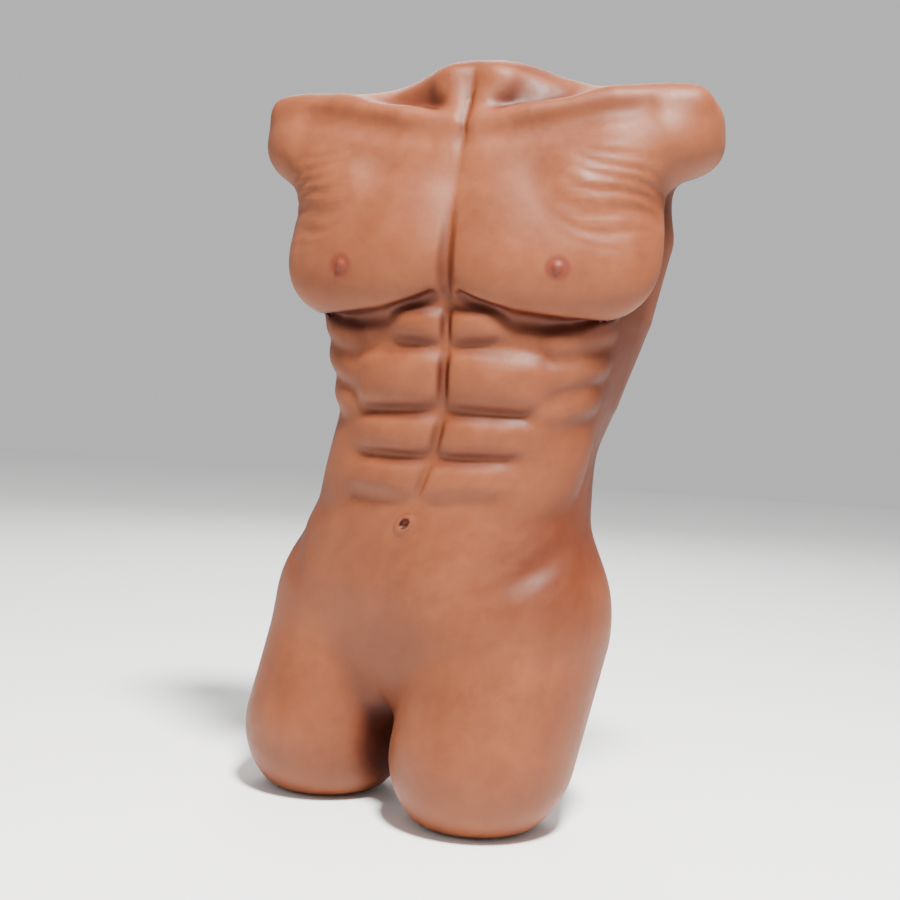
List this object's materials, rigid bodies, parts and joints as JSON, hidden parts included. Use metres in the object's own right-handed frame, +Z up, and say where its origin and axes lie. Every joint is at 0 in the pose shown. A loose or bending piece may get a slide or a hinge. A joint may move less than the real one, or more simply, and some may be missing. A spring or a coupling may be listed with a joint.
{
  "type": "torso mannequin",
  "caption": "Headless, armless soft torso mannequin with short thigh stumps on a hidden steel armature that bends and twists at the waist.",
  "frame": {"origin": "on the floor under the middle of the box that holds the torso", "axes": "+Z up, +X towards the figure's own left, -Y the way the chest faces; the hips are turned 17 degrees under the chest"},
  "size_m": [0.44, 0.2505, 0.7],
  "materials": {
    "skin": "satin elastomer, warm brown",
    "foam": "open-cell polyurethane foam",
    "sleeve": "closed-cell EVA foam",
    "armature": "black powder coat",
    "bare_steel": "turned and ground",
    "zinc": "zinc-plated",
    "nylon": "natural nylon",
    "friction": "woven friction lining"
  },
  "bodies": {
    "pelvis": {"hip_skin": "skin", "hip_foam_core": "foam", "swivel_bush": "nylon", "swivel_socket": "armature", "pelvis_bracket": "armature", "pelvis_bar": "armature", "pelvis_bolts": "zinc", "pelvis_nuts": "zinc", "left_thigh_tube": "armature", "right_thigh_tube": "armature", "left_stump_plate": "armature", "right_stump_plate": "armature", "thigh_inserts": "bare_steel", "stump_screws": "zinc"},
    "waist_swivel": {"waist_knuckle": "bare_steel", "swivel_washer": "zinc", "swivel_nut": "zinc", "waist_skin": "skin", "joint_sleeve": "sleeve"},
    "chest": {"chest_skin": "skin", "chest_foam_core": "foam", "waist_fork": "armature", "spine_tube": "armature", "spine_plug": "nylon", "neck_plate": "armature", "shoulder_bar": "armature", "left_shoulder_cap": "nylon", "right_shoulder_cap": "nylon", "cross_clamp_rear": "bare_steel", "cross_clamp_saddle": "bare_steel", "cross_clamp_front": "bare_steel", "cross_clamp_bolts": "zinc", "cross_clamp_nuts": "zinc", "hinge_bolt": "zinc", "hinge_nut": "zinc", "hinge_washers": "zinc", "friction_discs": "friction"}
  },
  "joints": [
    {"name": "waist_twist", "type": "hinge", "parent": "pelvis", "child": "waist_swivel", "pos_m": [-0.018, 0.0001, 0.306], "axis": [0, 0, 1], "range_deg": [-42, 8], "deforming": ["waist_skin", "joint_sleeve"]},
    {"name": "waist_bend", "type": "hinge", "parent": "waist_swivel", "child": "chest", "pos_m": [-0.018, 0.0001, 0.352], "axis": [0.9983, 0, -0.0576], "range_deg": [-12, 25], "deforming": ["waist_skin", "joint_sleeve"]}
  ]
}
